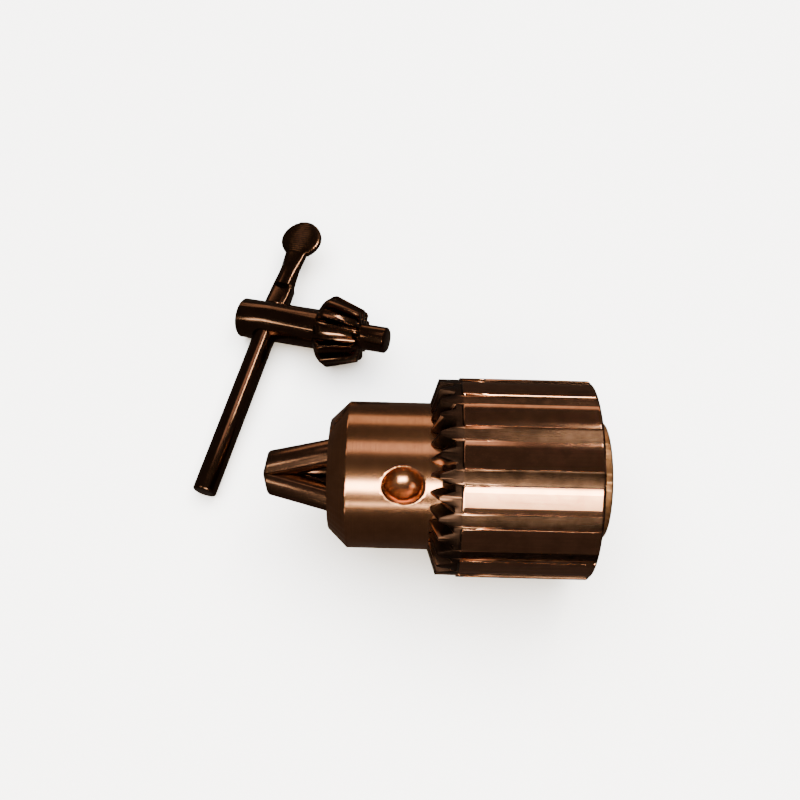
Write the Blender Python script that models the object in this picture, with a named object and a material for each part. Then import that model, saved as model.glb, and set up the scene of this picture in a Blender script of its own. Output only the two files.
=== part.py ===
"""A three-jaw keyed drill chuck lying on its side, with its T-handled key beside it.

Metres, +Z up.  The chuck's axis runs along X, nose towards -X.  The origin is on the
table under the axis, at the middle of the sleeve's lands.  Pieces of the chuck are
built about their own axis and hang from the empty chuck_axis; the key's two pieces
hang from the empty key_frame, whose X is the key's axis and Y the handle bar.
"""

import math

import bmesh
import bpy
from mathutils import Matrix, Vector

# ---- Sleeve: the outer shell, with lands to grip and bevel teeth for the key
LAND_COUNT = 15
TEETH_PER_LAND = 2
LAND_RADIUS = 0.0315
GROOVE_RADIUS = 0.0309
LAND_HALF_LENGTH = 0.0204
LAND_HALF_ANGLE = math.radians(7.6)
LAND_FLAT_HALF_ANGLE = math.radians(4.2)
LAND_FOOT_ANGLE = math.radians(0.25)
LAND_END_SLOPE = 0.0005
SLEEVE_CHAMFER = 0.0007
SLEEVE_BORE = 0.0293
SLEEVE_NECK_BORE = 0.0235
SLEEVE_SHOULDER_X = -0.0216
SLEEVE_SHOULDER_FOOT_X = -0.0244
TOOTH_TIP_HALF_ANGLE = math.radians(0.96)
TOOTH_TIP_SLOPE = 0.338
TOOTH_ROOT_SLOPE = 0.4845

# ---- Body: one turned piece with three slanted jaw bores and three pilot holes
BODY_RADIUS = 0.0232
BODY_FACE_X = -0.0608
BODY_FACE_RADIUS = 0.01745
BODY_CHAMFER_X = -0.0549
NOSE_BORE = 0.0070
NOSE_BORE_END_X = -0.0302
DRILL_POINT = math.tan(math.radians(31))
NUT_GROOVE_X = (-0.0245, -0.0174)
NUT_GROOVE_RADIUS = 0.0198
FLANGE_RADIUS = 0.0289
FLANGE_X = (-0.0102, 0.0194)
RACE_SEAT_RADIUS = 0.0249
RACE_SEAT_X = -0.0122
BEARING_NECK_RADIUS = 0.0230
HUB_RADIUS = 0.0189
HUB_END_X = 0.0252
SOCKET_MOUTH_RADIUS = 0.0103
SOCKET_END_RADIUS = 0.00948
SOCKET_DEPTH = 0.0310
EDGE_BREAK = 0.0006

# ---- Pilot holes for the key; their axes meet the chuck's axis at the teeth's apex
PILOT_X = -0.03757
PILOT_ANGLE = math.radians(32)
PILOT_RADIUS = 0.0052
PILOT_MOUTH_RADIUS = 0.0066
PILOT_FLOOR = 0.0122

# ---- Jaws: slanted rods, trimmed and threaded at the back, ground to 120 degrees
JAW_COUNT = 3
JAW_SLANT = math.radians(15)
JAW_CROSSING_X = -0.09027
JAW_RADIUS = 0.00455
JAW_BORE = 0.00485
JAW_NOSE_X = -0.08235
JAW_END_BREAK = 0.0006
JAW_REAR_X = -0.0196
JAW_BORE_END_X = 0.0085
JAW_GROUND_GAP = 0.00015
JAW_CREST = 0.00335
JAW_THREAD_START_X = -0.0525

# ---- Thread shared by the jaws and the split nut
THREAD_PITCH = 0.0030
THREAD_FLANK = 0.00045
NUT_RIDGE_HALF = 0.00035
JAW_FLOOR_HALF = 0.00065
JAW_THREAD_DEPTH = 0.00125
NUT_CLEARANCE = 0.00035
NUT_RIDGE_HEIGHT = 0.00105
NUT_X = (-0.0241, -0.0178)
NUT_RADIUS = 0.0289
NUT_SHOULDER_X = -0.0213
NUT_SPLIT_HALF_ANGLE = math.radians(0.6)

# ---- Thrust bearing behind the nut
BALL_COUNT = 24
BALL_RADIUS = 0.0016
BALL_CIRCLE = 0.0270
BALL_X = -0.0142
FRONT_RACE_X = (-0.0175, -0.0161)
FRONT_RACE_BORE = 0.0240
REAR_RACE_X = (-0.0123, -0.0105)
REAR_RACE_BORE = 0.0253
RACE_RADIUS = 0.0289
CAGE_HALF_THICKNESS = 0.0007
CAGE_BORE = 0.0245
CAGE_WEB_RADIUS = 0.02525
CAGE_RADIUS = 0.0288
CAGE_POCKET_HALF_ANGLE = math.radians(4.0)
CAGE_WALL_ANGLE = math.radians(0.4)

# ---- Key: shank, pinion and pilot pin in one forging; a bar with a thumb pad across it
KEY_PLACE = Vector((-0.08929, 0.07157, 0.00903))
KEY_HEADING = math.radians(-14.96)
KEY_PITCH = math.radians(9.32)
KEY_ROLL = math.radians(4.05)
KEY_BACK_X = -0.0113
SHANK_RADIUS = 0.0074
PINION_TEETH = 12
PINION_BACK_X = 0.0206
PINION_DOME = ((0.0210, 0.0093), (0.0223, 0.0114), (0.0238, 0.0127))
PINION_RIM_X = 0.0252
PINION_RIM_RADIUS = 0.0133
PINION_NOSE_X = 0.0364
PINION_NOSE_RADIUS = 0.00965
PINION_DEPTH = 0.0044
PINION_NOSE_DEPTH = 0.0034
PINION_TIP_SHARE = 0.44
PINION_ROOT_SHARE = 0.74
PIN_RADIUS = 0.00477
PIN_END_X = 0.04675
BAR_RADIUS = 0.0042
BAR_HOLE_RADIUS = 0.0045
BAR_END_Y = -0.0703
BAR_END_BREAK = 0.0008
BAR_FLAT_START_Y = 0.0135
BAR_NECK_Y = 0.0285
BAR_NECK_HALF_WIDTH = 0.0039
PAD_CENTRE_Y = 0.0380
PAD_RADIUS = 0.0079
PAD_HALF_THICKNESS = 0.0019
PAD_END_HALF_WIDTH = 0.00095

# ---- Facets
TURNED_SEGMENTS = 64
BORE_SEGMENTS = 32
PILOT_SEGMENTS = 36
JAW_SEGMENTS = 24
NUT_SEGMENTS = 24
BAR_SEGMENTS = 16
BALL_SEGMENTS = 8
BALL_RINGS = 6
PAD_STEPS = 7
CUTTER_OVERRUN = 0.004
SHARP_ANGLE = math.radians(25)

FULL_TURN = 2 * math.pi
AXIS_HEIGHT = LAND_RADIUS * math.cos(LAND_FLAT_HALF_ANGLE)


# ---- Scene and mesh helpers


def clear_scene():
    for obj in list(bpy.data.objects):
        bpy.data.objects.remove(obj)


def make_material(name, colour, roughness, metallic=1.0):
    material = bpy.data.materials.new(name)
    material.use_nodes = True
    shader = material.node_tree.nodes["Principled BSDF"]
    shader.inputs["Base Color"].default_value = (*colour, 1.0)
    shader.inputs["Roughness"].default_value = roughness
    shader.inputs["Metallic"].default_value = metallic
    material.diffuse_color = (*colour, 1.0)
    return material


def make_empty(name, location, rotation=(0.0, 0.0, 0.0)):
    empty = bpy.data.objects.new(name, None)
    empty.location = location
    empty.rotation_euler = rotation
    bpy.context.scene.collection.objects.link(empty)
    return empty


def make_object(name, mesh_data, parent, material=None):
    """Finishes a bmesh as an object: normals out, smooth with sharp edges kept."""
    bmesh.ops.remove_doubles(mesh_data, verts=mesh_data.verts, dist=1e-6)
    bmesh.ops.recalc_face_normals(mesh_data, faces=mesh_data.faces)
    mesh = bpy.data.meshes.new(name)
    mesh_data.to_mesh(mesh)
    mesh_data.free()
    mesh.shade_smooth()
    mesh.set_sharp_from_angle(angle=SHARP_ANGLE)
    obj = bpy.data.objects.new(name, mesh)
    bpy.context.scene.collection.objects.link(obj)
    obj.parent = parent
    if material:
        mesh.materials.append(material)
    return obj


def make_cutter(name, mesh_data, parent):
    cutter = make_object(name, mesh_data, parent)
    cutter.hide_render = True
    cutter.display_type = "WIRE"
    return cutter


def subtract(obj, cutter):
    modifier = obj.modifiers.new(cutter.name, "BOOLEAN")
    modifier.operation = "DIFFERENCE"
    modifier.solver = "EXACT"
    modifier.object = cutter


def about_x(x, radius, angle):
    """A point about the X axis; angle 0 is +Z, and it grows towards -Y."""
    return Vector((x, -radius * math.sin(angle), radius * math.cos(angle)))


def bridge(mesh_data, rings, closed_path=False):
    """Joins rings of points with quads, and caps both ends unless the path closes."""
    made = [[mesh_data.verts.new(point) for point in ring] for ring in rings]
    pairs = list(zip(made, made[1:]))
    if closed_path:
        pairs.append((made[-1], made[0]))
    count = len(made[0])
    for first, second in pairs:
        for i in range(count):
            j = (i + 1) % count
            mesh_data.faces.new((first[i], first[j], second[j], second[i]))
    if not closed_path:
        mesh_data.faces.new(made[0])
        mesh_data.faces.new(made[-1])
    return made


def turned(profile, segments=TURNED_SEGMENTS, closed_path=False):
    """A solid turned about X from (x, radius) points; it may start and end on the axis."""
    mesh_data = bmesh.new()
    angles = [FULL_TURN * i / segments for i in range(segments)]
    inner = [point for point in profile if point[1] > 0]
    rings = [[about_x(x, r, a) for a in angles] for x, r in inner]
    if closed_path:
        bridge(mesh_data, rings, closed_path=True)
        return mesh_data
    made = bridge(mesh_data, rings)
    for end, ring in ((profile[0], made[0]), (profile[-1], made[-1])):
        if end[1] == 0:
            cap = next(f for f in ring[0].link_faces if len(f.verts) == segments)
            bmesh.ops.delete(mesh_data, geom=[cap], context="FACES_ONLY")
            apex = mesh_data.verts.new((end[0], 0.0, 0.0))
            for i in range(segments):
                mesh_data.faces.new((ring[i], ring[(i + 1) % segments], apex))
    return mesh_data


# ---- Sleeve


def sleeve_stations():
    """(angle, on a tooth tip, on a land, land radius) round the whole sleeve."""
    land_pitch = FULL_TURN / LAND_COUNT
    tooth_pitch = land_pitch / TEETH_PER_LAND
    flat = LAND_RADIUS * math.cos(LAND_FLAT_HALF_ANGLE)
    flat_radius = flat / math.cos(TOOTH_TIP_HALF_ANGLE)
    groove_edge = LAND_HALF_ANGLE + LAND_FOOT_ANGLE
    one_land = (
        (-groove_edge, False, False, GROOVE_RADIUS),
        (-LAND_HALF_ANGLE, False, True, LAND_RADIUS),
        (-LAND_FLAT_HALF_ANGLE, False, True, LAND_RADIUS),
        (-TOOTH_TIP_HALF_ANGLE, True, True, flat_radius),
        (TOOTH_TIP_HALF_ANGLE, True, True, flat_radius),
        (LAND_FLAT_HALF_ANGLE, False, True, LAND_RADIUS),
        (LAND_HALF_ANGLE, False, True, LAND_RADIUS),
        (groove_edge, False, False, GROOVE_RADIUS),
        (tooth_pitch - TOOTH_TIP_HALF_ANGLE, True, False, GROOVE_RADIUS),
        (tooth_pitch + TOOTH_TIP_HALF_ANGLE, True, False, GROOVE_RADIUS),
    )
    first_land = land_pitch / 2
    return [
        (first_land + k * land_pitch + angle, tip, land, radius)
        for k in range(LAND_COUNT)
        for angle, tip, land, radius in one_land
    ]


def make_sleeve(parent, material):
    stations = sleeve_stations()
    rear = LAND_HALF_LENGTH

    def tooth_ring(radius):
        ring = []
        for angle, tip, _, _ in stations:
            slope = TOOTH_TIP_SLOPE if tip else TOOTH_ROOT_SLOPE
            ring.append(about_x(PILOT_X + slope * radius, radius, angle))
        return ring

    def round_ring(x, radius):
        return [about_x(x, radius, angle) for angle, _, _, _ in stations]

    def land_ring(x):
        return [about_x(x, radius, angle) for angle, _, _, radius in stations]

    rings = [
        tooth_ring(SLEEVE_NECK_BORE),
        tooth_ring(GROOVE_RADIUS),
        round_ring(-rear - LAND_END_SLOPE, GROOVE_RADIUS),
        land_ring(-rear),
        land_ring(rear - SLEEVE_CHAMFER),
        round_ring(rear, LAND_RADIUS - SLEEVE_CHAMFER),
        round_ring(rear, SLEEVE_BORE + EDGE_BREAK),
        round_ring(rear - EDGE_BREAK, SLEEVE_BORE),
        round_ring(SLEEVE_SHOULDER_X, SLEEVE_BORE),
        round_ring(SLEEVE_SHOULDER_FOOT_X, SLEEVE_NECK_BORE + EDGE_BREAK),
        round_ring(SLEEVE_SHOULDER_FOOT_X - EDGE_BREAK, SLEEVE_NECK_BORE),
    ]
    mesh_data = bmesh.new()
    bridge(mesh_data, rings, closed_path=True)
    return make_object("sleeve", mesh_data, parent, material)


# ---- Body


def body_profile():
    nose_end = NOSE_BORE_END_X + NOSE_BORE * DRILL_POINT
    socket_end = HUB_END_X - SOCKET_DEPTH
    return (
        (nose_end, 0.0),
        (NOSE_BORE_END_X, NOSE_BORE),
        (BODY_FACE_X + EDGE_BREAK, NOSE_BORE),
        (BODY_FACE_X, NOSE_BORE + EDGE_BREAK),
        (BODY_FACE_X, BODY_FACE_RADIUS),
        (BODY_CHAMFER_X, BODY_RADIUS),
        (NUT_GROOVE_X[0], BODY_RADIUS),
        (NUT_GROOVE_X[0], NUT_GROOVE_RADIUS),
        (NUT_GROOVE_X[1], NUT_GROOVE_RADIUS),
        (NUT_GROOVE_X[1], BEARING_NECK_RADIUS),
        (RACE_SEAT_X, BEARING_NECK_RADIUS),
        (RACE_SEAT_X, RACE_SEAT_RADIUS),
        (FLANGE_X[0], RACE_SEAT_RADIUS),
        (FLANGE_X[0], FLANGE_RADIUS),
        (FLANGE_X[1] - EDGE_BREAK, FLANGE_RADIUS),
        (FLANGE_X[1], FLANGE_RADIUS - EDGE_BREAK),
        (FLANGE_X[1], HUB_RADIUS),
        (HUB_END_X - EDGE_BREAK, HUB_RADIUS),
        (HUB_END_X, HUB_RADIUS - EDGE_BREAK),
        (HUB_END_X, SOCKET_MOUTH_RADIUS + EDGE_BREAK),
        (HUB_END_X - EDGE_BREAK, SOCKET_MOUTH_RADIUS),
        (socket_end, SOCKET_END_RADIUS),
        (socket_end - SOCKET_END_RADIUS * DRILL_POINT, 0.0),
    )


def jaw_matrix(number):
    """Takes a rod along X, back upwards, to its slanted place round the chuck's axis."""
    turn = Matrix.Rotation(jaw_angle(number), 4, "X")
    slant = Matrix.Rotation(-JAW_SLANT, 4, "Y")
    return turn @ Matrix.Translation((JAW_CROSSING_X, 0, 0)) @ slant


def jaw_angle(number):
    """The jaws stand midway between the pilot holes."""
    return PILOT_ANGLE + FULL_TURN * (number + 0.5) / JAW_COUNT


def along_jaw(x, height):
    """Distance along a rod's axis of a point at x that is height above that axis."""
    return (x - JAW_CROSSING_X + height * math.sin(JAW_SLANT)) / math.cos(JAW_SLANT)


def make_jaw_bore(number, parent):
    profile = (
        (along_jaw(BODY_FACE_X, 0.0) - 2 * CUTTER_OVERRUN, JAW_BORE),
        (along_jaw(JAW_BORE_END_X, 0.0), JAW_BORE),
    )
    mesh_data = turned(profile, segments=BORE_SEGMENTS)
    mesh_data.transform(jaw_matrix(number))
    return make_cutter(f"jaw_bore_{number + 1}", mesh_data, parent)


def make_pilot_hole(number, parent):
    outside = BODY_RADIUS + CUTTER_OVERRUN
    flare = PILOT_MOUTH_RADIUS + CUTTER_OVERRUN
    neck = BODY_RADIUS - (PILOT_MOUTH_RADIUS - PILOT_RADIUS)
    profile = (
        (PILOT_FLOOR - PILOT_RADIUS * DRILL_POINT, 0.0),
        (PILOT_FLOOR, PILOT_RADIUS),
        (neck, PILOT_RADIUS),
        (outside, flare),
    )
    mesh_data = turned(profile, segments=PILOT_SEGMENTS)
    point_up = Matrix.Rotation(-math.pi / 2, 4, "Y")
    turn = Matrix.Rotation(PILOT_ANGLE + FULL_TURN * number / JAW_COUNT, 4, "X")
    mesh_data.transform(turn @ Matrix.Translation((PILOT_X, 0, 0)) @ point_up)
    return make_cutter(f"pilot_hole_{number + 1}", mesh_data, parent)


def make_body(parent, material):
    body = make_object("chuck_body", turned(body_profile()), parent, material)
    for number in range(JAW_COUNT):
        subtract(body, make_jaw_bore(number, parent))
        subtract(body, make_pilot_hole(number, parent))
    return body


# ---- Jaws


def thread_centres(angle, low, high):
    """Axial places of the nut's ridges at this angle round the axis, between two limits."""
    start = NUT_X[0] - THREAD_PITCH * angle / FULL_TURN
    first = math.ceil((low - start) / THREAD_PITCH)
    last = math.floor((high - start) / THREAD_PITCH)
    return [start + THREAD_PITCH * k for k in range(first, last + 1)]


def jaw_stations(number):
    """(distance along the rod, height that its back is cut to), front to rear."""
    wide = JAW_FLOOR_HALF + THREAD_FLANK
    first = JAW_THREAD_START_X + 2 * wide
    centres = thread_centres(jaw_angle(number), first, JAW_REAR_X + wide)

    def cut_at(x):
        away = min(abs(x - centre) for centre in centres)
        share = min(max((wide - away) / THREAD_FLANK, 0.0), 1.0)
        return JAW_CREST - JAW_THREAD_DEPTH * share

    corners = [
        centre + shift
        for centre in centres
        for shift in (-wide, -JAW_FLOOR_HALF, JAW_FLOOR_HALF, wide)
        if centre + shift < JAW_REAR_X
    ]
    stations = [
        (along_jaw(JAW_THREAD_START_X, JAW_RADIUS), JAW_RADIUS),
        (along_jaw(JAW_THREAD_START_X + EDGE_BREAK, JAW_CREST), JAW_CREST),
    ]
    for x in corners + [JAW_REAR_X]:
        stations.append((along_jaw(x, cut_at(x)), cut_at(x)))
    return stations


def jaw_nose_ring(setback):
    """The rod's end, ground so that the three closed jaws make a blunt point."""
    ring = []
    squeeze = math.cos(JAW_SLANT) - math.sin(JAW_SLANT) * math.tan(JAW_SLANT)
    radius = JAW_RADIUS - JAW_END_BREAK + setback
    for i in range(JAW_SEGMENTS):
        angle = FULL_TURN * i / JAW_SEGMENTS
        height = radius * math.cos(angle)
        along = JAW_NOSE_X - JAW_CROSSING_X + 2 * height * math.sin(JAW_SLANT)
        ring.append(Vector((along / squeeze + setback, -radius * math.sin(angle), height)))
    return ring


def jaw_ring(distance, cut):
    """The rod's outline there, its back cut to a surface that curves as the nut does."""
    ring = []
    for i in range(JAW_SEGMENTS):
        angle = FULL_TURN * i / JAW_SEGMENTS
        side = JAW_RADIUS * math.sin(angle)
        height = JAW_RADIUS * math.cos(angle)
        limit = cut - side * side / (2 * NUT_GROOVE_RADIUS)
        if cut < JAW_RADIUS:
            height = min(height, limit)
        ring.append(Vector((distance, -side, height)))
    return ring


def grind_flank(mesh_data, side, number):
    """Cuts the jaw flat along the plane that it shares with its neighbour."""
    angle = jaw_angle(number) + side * math.pi / JAW_COUNT
    normal = about_x(0.0, 1.0, angle + side * math.pi / 2)
    cut = bmesh.ops.bisect_plane(
        mesh_data,
        geom=mesh_data.verts[:] + mesh_data.edges[:] + mesh_data.faces[:],
        dist=1e-7,
        plane_co=normal * -JAW_GROUND_GAP,
        plane_no=normal,
        clear_outer=True,
    )
    edges = [item for item in cut["geom_cut"] if isinstance(item, bmesh.types.BMEdge)]
    bmesh.ops.contextual_create(mesh_data, geom=edges)


def make_jaw(number, parent, material):
    mesh_data = bmesh.new()
    rings = [jaw_nose_ring(0.0), jaw_nose_ring(JAW_END_BREAK)]
    rings += [jaw_ring(*station) for station in jaw_stations(number)]
    bridge(mesh_data, rings)
    mesh_data.transform(jaw_matrix(number))
    for side in (-1, 1):
        grind_flank(mesh_data, side, number)
    return make_object(f"jaw_{number + 1}", mesh_data, parent, material)


# ---- Split nut


def crest_cone(x):
    """Radius of the jaws' thread crests at x."""
    return (x - JAW_CROSSING_X) * math.tan(JAW_SLANT) + JAW_CREST / math.cos(JAW_SLANT)


def nut_bore_points(angle):
    """(x, radius) of the threaded bore at this angle; points past the ends sit on them."""
    low, high = NUT_X
    wide = NUT_RIDGE_HALF + THREAD_FLANK
    turns = 3 + math.ceil((high - low) / THREAD_PITCH)
    start = low - THREAD_PITCH * (1 + angle / FULL_TURN)

    def radius_at(x):
        offset = (x - start) / THREAD_PITCH
        away = abs(offset - round(offset)) * THREAD_PITCH
        share = min(max((wide - away) / THREAD_FLANK, 0.0), 1.0)
        return crest_cone(x) + NUT_CLEARANCE - NUT_RIDGE_HEIGHT * share

    points = []
    for k in range(turns + 1):
        centre = start + THREAD_PITCH * k
        for shift in (-wide, -NUT_RIDGE_HALF, NUT_RIDGE_HALF, wide):
            x = min(max(centre + shift, low), high)
            points.append((x, radius_at(x)))
    return points


def make_nut_half(number, parent, material):
    start = PILOT_ANGLE + math.pi * number + NUT_SPLIT_HALF_ANGLE
    sweep = math.pi - 2 * NUT_SPLIT_HALF_ANGLE
    rings = []
    for i in range(NUT_SEGMENTS + 1):
        angle = start + sweep * i / NUT_SEGMENTS
        low, high = NUT_X
        bore = nut_bore_points(angle)
        outside = [
            (high, NUT_RADIUS - EDGE_BREAK),
            (high - EDGE_BREAK, NUT_RADIUS),
            (NUT_SHOULDER_X, NUT_RADIUS),
            (low, SLEEVE_NECK_BORE + EDGE_BREAK),
        ]
        rings.append([about_x(x, radius, angle) for x, radius in bore + outside])
    mesh_data = bmesh.new()
    bridge(mesh_data, rings)
    return make_object(f"nut_half_{number + 1}", mesh_data, parent, material)


# ---- Thrust bearing


def make_race(name, ends, bore, parent, material):
    low, high = ends
    profile = ((low, bore), (low, RACE_RADIUS), (high, RACE_RADIUS), (high, bore))
    mesh_data = turned(profile, closed_path=True)
    return make_object(name, mesh_data, parent, material)


def make_cage(parent, material):
    pitch = FULL_TURN / BALL_COUNT
    spoke = CAGE_POCKET_HALF_ANGLE + CAGE_WALL_ANGLE
    stations = []
    for k in range(BALL_COUNT):
        stations.append((k * pitch - CAGE_POCKET_HALF_ANGLE, CAGE_WEB_RADIUS))
        stations.append((k * pitch + CAGE_POCKET_HALF_ANGLE, CAGE_WEB_RADIUS))
        stations.append((k * pitch + spoke, CAGE_RADIUS))
        stations.append(((k + 1) * pitch - spoke, CAGE_RADIUS))
    front = BALL_X - CAGE_HALF_THICKNESS
    rear = BALL_X + CAGE_HALF_THICKNESS
    rings = [
        [about_x(front, CAGE_BORE, angle) for angle, _ in stations],
        [about_x(front, radius, angle) for angle, radius in stations],
        [about_x(rear, radius, angle) for angle, radius in stations],
        [about_x(rear, CAGE_BORE, angle) for angle, _ in stations],
    ]
    mesh_data = bmesh.new()
    bridge(mesh_data, rings, closed_path=True)
    return make_object("ball_cage", mesh_data, parent, material)


def make_ball(number, parent, material):
    mesh_data = bmesh.new()
    angle = FULL_TURN * number / BALL_COUNT
    place = Matrix.Translation(about_x(BALL_X, BALL_CIRCLE, angle))
    bmesh.ops.create_uvsphere(
        mesh_data,
        u_segments=BALL_SEGMENTS,
        v_segments=BALL_RINGS,
        radius=BALL_RADIUS,
        matrix=place,
    )
    return make_object(f"bearing_ball_{number + 1:02d}", mesh_data, parent, material)


# ---- Key


def pinion_stations():
    """(angle, on a tooth tip) round the pinion."""
    pitch = FULL_TURN / PINION_TEETH
    tip = pitch * PINION_TIP_SHARE / 2
    root = pitch * PINION_ROOT_SHARE / 2
    return [
        (k * pitch + offset, on_tip)
        for k in range(PINION_TEETH)
        for offset, on_tip in ((-root, False), (-tip, True), (tip, True), (root, False))
    ]


def make_key_body(parent, material):
    stations = pinion_stations()
    root_radius = PINION_RIM_RADIUS - PINION_DEPTH

    def round_ring(x, radius):
        return [about_x(x, radius, angle) for angle, _ in stations]

    def tooth_ring(x, tip, root):
        return [about_x(x, tip if on_tip else root, angle) for angle, on_tip in stations]

    rings = [
        round_ring(KEY_BACK_X, SHANK_RADIUS - EDGE_BREAK),
        round_ring(KEY_BACK_X + EDGE_BREAK, SHANK_RADIUS),
        round_ring(PINION_BACK_X, SHANK_RADIUS),
    ]
    rings += [tooth_ring(x, radius, root_radius) for x, radius in PINION_DOME]
    rings += [
        tooth_ring(PINION_RIM_X, PINION_RIM_RADIUS, root_radius),
        tooth_ring(PINION_NOSE_X, PINION_NOSE_RADIUS, PINION_NOSE_RADIUS - PINION_NOSE_DEPTH),
        round_ring(PINION_NOSE_X + EDGE_BREAK, PIN_RADIUS),
        round_ring(PIN_END_X - EDGE_BREAK, PIN_RADIUS),
        round_ring(PIN_END_X, PIN_RADIUS - EDGE_BREAK),
    ]
    mesh_data = bmesh.new()
    bridge(mesh_data, rings)
    key = make_object("key_body", mesh_data, parent, material)
    reach = SHANK_RADIUS + CUTTER_OVERRUN
    hole = turned(((-reach, BAR_HOLE_RADIUS), (reach, BAR_HOLE_RADIUS)), BORE_SEGMENTS)
    hole.transform(Matrix.Rotation(math.pi / 2, 4, "Z"))
    subtract(key, make_cutter("bar_hole", hole, parent))
    return key


def bar_sections():
    """(y, half width along the shank, half thickness), plain end to thumb pad."""
    yield BAR_END_Y, BAR_RADIUS - BAR_END_BREAK, BAR_RADIUS - BAR_END_BREAK
    yield BAR_END_Y + BAR_END_BREAK, BAR_RADIUS, BAR_RADIUS
    yield BAR_FLAT_START_Y, BAR_RADIUS, BAR_RADIUS
    middle = (BAR_FLAT_START_Y + BAR_NECK_Y) / 2
    yield middle, BAR_NECK_HALF_WIDTH, (BAR_RADIUS + PAD_HALF_THICKNESS) / 2
    yield BAR_NECK_Y, BAR_NECK_HALF_WIDTH, PAD_HALF_THICKNESS
    start = math.asin(BAR_NECK_HALF_WIDTH / PAD_RADIUS)
    for i in range(1, PAD_STEPS):
        angle = start + (math.pi - start) * i / PAD_STEPS
        y = PAD_CENTRE_Y - PAD_RADIUS * math.cos(angle)
        yield y, PAD_RADIUS * math.sin(angle), PAD_HALF_THICKNESS
    end_y = PAD_CENTRE_Y + math.sqrt(PAD_RADIUS**2 - PAD_END_HALF_WIDTH**2)
    yield end_y, PAD_END_HALF_WIDTH, PAD_HALF_THICKNESS


def make_key_bar(parent, material):
    rings = []
    for y, half_width, half_thickness in bar_sections():
        ring = []
        for i in range(BAR_SEGMENTS):
            angle = FULL_TURN * (i + 0.5) / BAR_SEGMENTS
            x = half_width * math.cos(angle)
            z = half_thickness * math.sin(angle)
            ring.append(Vector((x, y, z)))
        rings.append(ring)
    mesh_data = bmesh.new()
    bridge(mesh_data, rings)
    return make_object("key_handle_bar", mesh_data, parent, material)


# ---- Assembly


def build():
    clear_scene()
    steel = make_material("body_steel", (0.62, 0.50, 0.42), 0.30)
    sleeve_steel = make_material("sleeve_steel", (0.42, 0.31, 0.24), 0.32)
    jaw_steel = make_material("jaw_steel", (0.48, 0.37, 0.29), 0.38)
    nut_steel = make_material("nut_steel", (0.40, 0.38, 0.36), 0.40)
    race_steel = make_material("race_steel", (0.66, 0.65, 0.64), 0.20)
    brass = make_material("cage_brass", (0.75, 0.57, 0.24), 0.35)
    oxide = make_material("key_black_oxide", (0.10, 0.07, 0.055), 0.36)

    chuck = make_empty("chuck_axis", (0.0, 0.0, AXIS_HEIGHT))
    make_body(chuck, steel)
    make_sleeve(chuck, sleeve_steel)
    for number in range(JAW_COUNT):
        make_jaw(number, chuck, jaw_steel)
    for number in range(2):
        make_nut_half(number, chuck, nut_steel)
    make_race("nut_side_race", FRONT_RACE_X, FRONT_RACE_BORE, chuck, race_steel)
    make_race("body_side_race", REAR_RACE_X, REAR_RACE_BORE, chuck, race_steel)
    make_cage(chuck, brass)
    for number in range(BALL_COUNT):
        make_ball(number, chuck, race_steel)

    lie = (KEY_ROLL, -KEY_PITCH, KEY_HEADING)
    key = make_empty("key_frame", KEY_PLACE, lie)
    make_key_body(key, oxide)
    make_key_bar(key, oxide)


build()
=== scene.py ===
"""The looks of the keyed drill chuck and its T-handled key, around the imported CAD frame.

Metres, +Z up, in the CAD frame.  The chuck lies on one of its sleeve's lands, with its
axis along X and its jaws towards -X, and the key lies on the table beside it.  Visible
pieces get a finer mesh of the same shape and size; the pieces inside keep their CAD mesh
and get a material.  Lengths along an axis (_X, _Y) are in the piece's own frame.
"""

import math

import bmesh
import bpy
from mathutils import Euler, Matrix, Vector

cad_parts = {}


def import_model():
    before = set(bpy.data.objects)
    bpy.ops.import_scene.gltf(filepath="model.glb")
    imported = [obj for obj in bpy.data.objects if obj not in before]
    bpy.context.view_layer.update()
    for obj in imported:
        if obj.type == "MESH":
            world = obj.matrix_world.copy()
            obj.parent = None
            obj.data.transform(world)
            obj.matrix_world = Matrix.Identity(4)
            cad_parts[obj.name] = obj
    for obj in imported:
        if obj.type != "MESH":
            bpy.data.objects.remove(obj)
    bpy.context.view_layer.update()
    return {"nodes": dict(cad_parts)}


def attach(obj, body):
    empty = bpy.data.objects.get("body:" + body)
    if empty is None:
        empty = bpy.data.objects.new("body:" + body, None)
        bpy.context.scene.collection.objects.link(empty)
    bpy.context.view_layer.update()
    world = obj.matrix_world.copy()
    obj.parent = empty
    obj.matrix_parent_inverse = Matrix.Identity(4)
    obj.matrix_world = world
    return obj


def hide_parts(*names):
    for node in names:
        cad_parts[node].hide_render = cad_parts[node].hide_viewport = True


FULL_TURN = 2 * math.pi
EDGE_BREAK = 0.0006
SAME_POINT = 1e-6
ON_PLANE = 1e-7
CUTTER_OVERRUN = 0.004

# ---- Sleeve
LAND_COUNT = 15
LAND_RADIUS = 0.0315
GROOVE_RADIUS = 0.0309
LAND_HALF_LENGTH = 0.0204
LAND_HALF_ANGLE = math.radians(7.6)
LAND_FLAT_HALF_ANGLE = math.radians(4.2)
LAND_FLAT_SHARES = (0.0, 0.5, 0.95)
LAND_CORNER_ANGLE = math.radians(1.6)
LAND_CORNER_RADIUS = 0.0009
LAND_CORNER_SHARES = (0.0, 0.5, 0.8, 0.95, 1.0)
LAND_FOOT_ANGLE = math.radians(0.3)
LAND_END_SLOPE = 0.0004
LAND_RING_SHARES = (-0.6, -0.2, 0.2, 0.6)
GROOVE_STEPS = 9
SLEEVE_CHAMFER = 0.0007
SLEEVE_BORE = 0.0293
SLEEVE_NECK_BORE = 0.0235
SLEEVE_SHOULDER_X = -0.0216
SLEEVE_SHOULDER_FOOT_X = -0.0244
TOOTH_TIP_HALF_ANGLE = math.radians(0.96)
TOOTH_ROOT_HALF_ANGLE = math.radians(4.2)
TOOTH_TIP_SLOPE = 0.338
TOOTH_ROOT_SLOPE = 0.4845
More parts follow.
